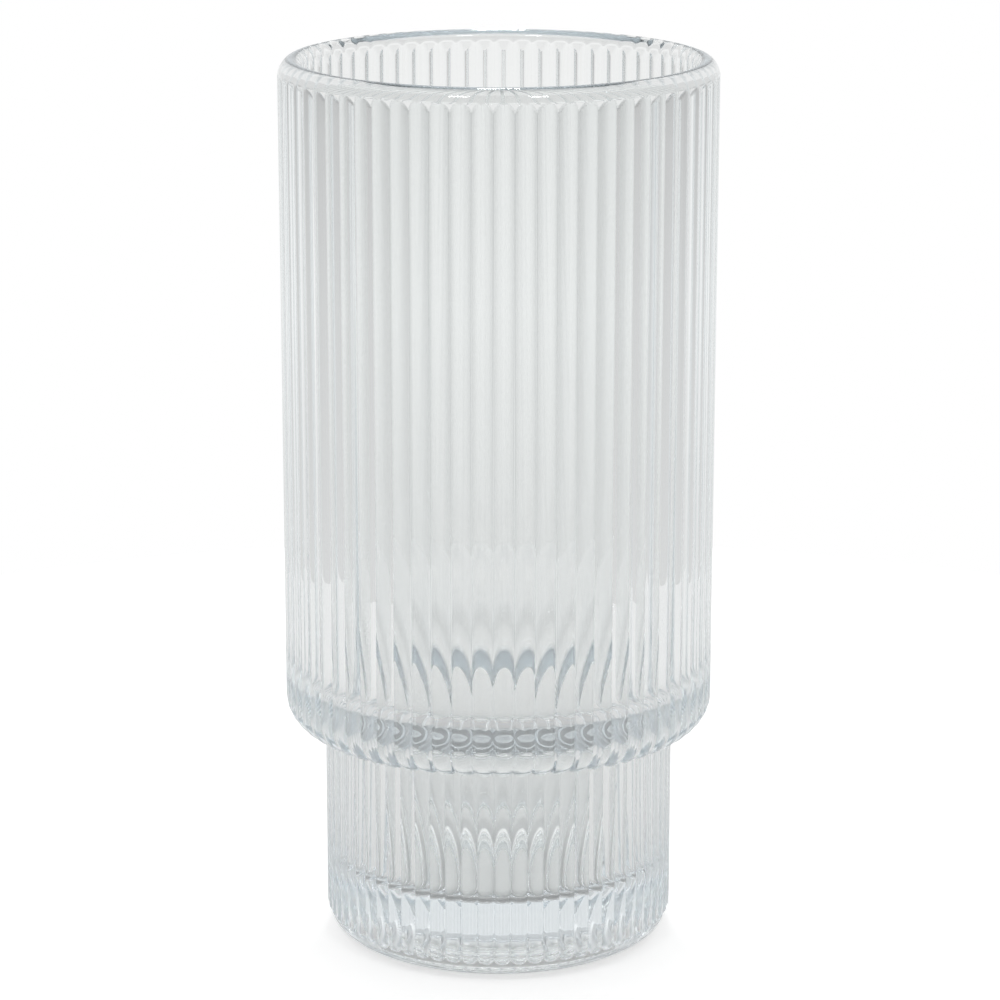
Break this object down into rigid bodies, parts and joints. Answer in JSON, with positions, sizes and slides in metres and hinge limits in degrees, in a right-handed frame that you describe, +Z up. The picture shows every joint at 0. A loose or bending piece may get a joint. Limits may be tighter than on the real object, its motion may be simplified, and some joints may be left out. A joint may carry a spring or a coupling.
{
  "type": "drinking glass",
  "caption": "Clear pressed-glass tumbler with vertical ribs, a smooth rounded rim, and a shoulder stepping in to a narrower thick-based foot for stacking.",
  "frame": {"origin": "middle of the underside, on the surface that the glass stands on", "axes": "+Z up along the axis of the glass, towards the mouth; the glass is the same all round, so +X and +Y are free"},
  "size_m": [0.0748, 0.0748, 0.1556],
  "materials": {
    "clear_glass": "clear colourless pressed soda-lime glass, fire-polished, with a faint blue-grey cast where it is thick"
  },
  "bodies": {
    "root": {"lip": "clear_glass", "bowl_wall": "clear_glass", "shoulder": "clear_glass", "foot_wall": "clear_glass", "base": "clear_glass"}
  },
  "joints": []
}
